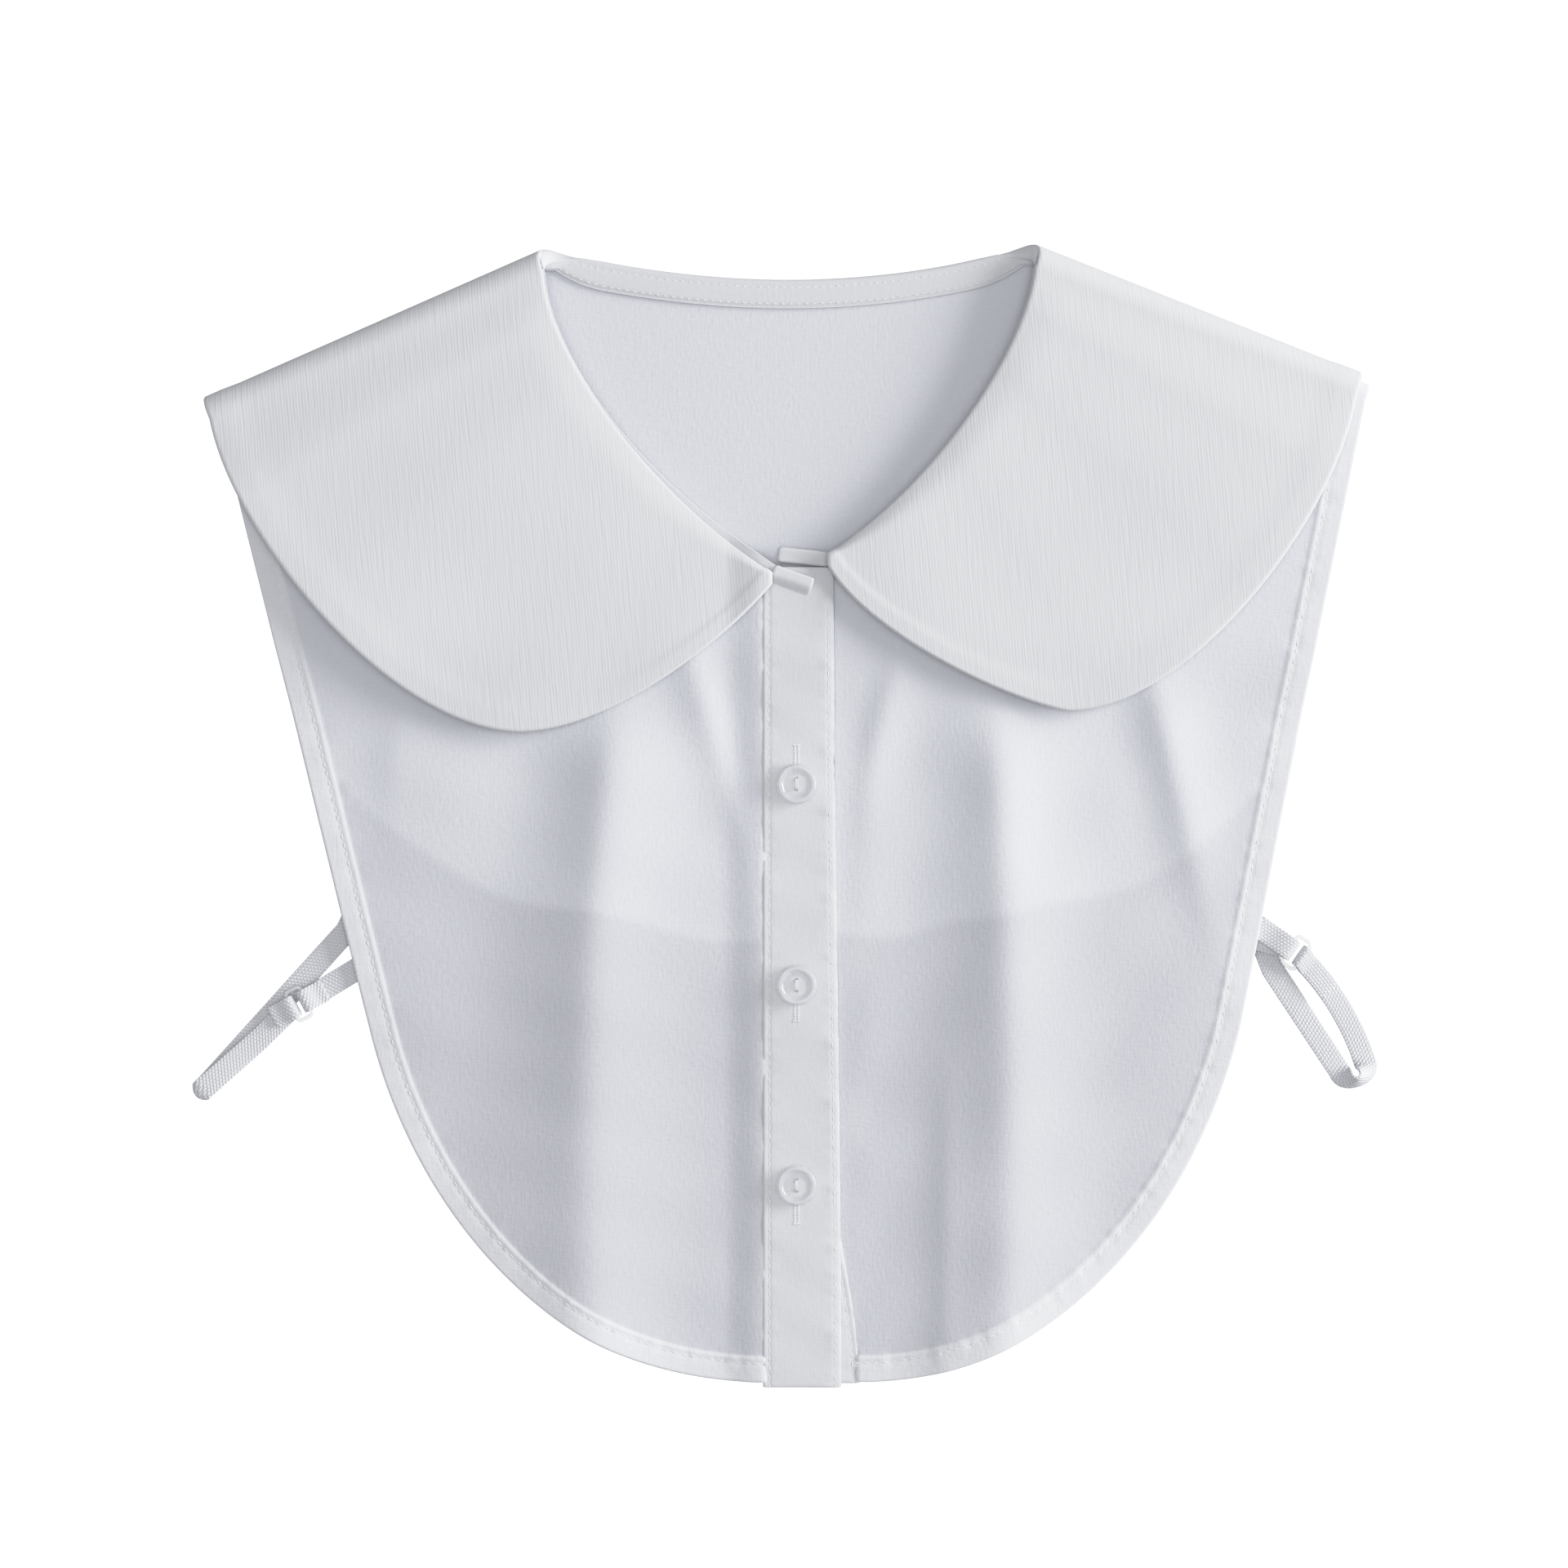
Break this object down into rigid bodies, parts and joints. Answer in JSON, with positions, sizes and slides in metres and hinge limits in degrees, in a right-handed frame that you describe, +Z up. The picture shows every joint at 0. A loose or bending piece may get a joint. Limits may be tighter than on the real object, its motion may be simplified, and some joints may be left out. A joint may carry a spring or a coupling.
{
  "type": "detachable collar",
  "caption": "Detachable white blouse collar laid flat: wide rounded lobes on a short buttoned bib with a back panel and side elastic loops.",
  "frame": {"origin": "middle of the bounding box at the surface that the collar lies on", "axes": "+X across to the viewer's right, +Y from the hem towards the neck, +Z up out of the front"},
  "size_m": [0.3342, 0.3238, 0.0149],
  "materials": {
    "collar_cloth": "matt, fine upright ribs",
    "bib_cloth": "matt, thin plain weave",
    "folded_cloth": "matt, plain weave folded double",
    "elastic": "knitted elastic",
    "button": "clear, glossy",
    "ring": "clear, glossy"
  },
  "bodies": {
    "root": {"collar": "collar_cloth", "neck_band": "folded_cloth", "neck_tab_left": "folded_cloth", "neck_tab_right": "folded_cloth", "front_bib_left": "bib_cloth", "front_bib_right": "bib_cloth", "back_bib": "bib_cloth", "placket_top": "folded_cloth", "placket_under": "folded_cloth", "button_1": "button", "button_2": "button", "button_3": "button", "elastic_left": "elastic", "elastic_right": "elastic", "elastic_tab_left": "elastic", "elastic_tab_right": "elastic", "ring_left": "ring", "ring_right": "ring"}
  },
  "joints": []
}
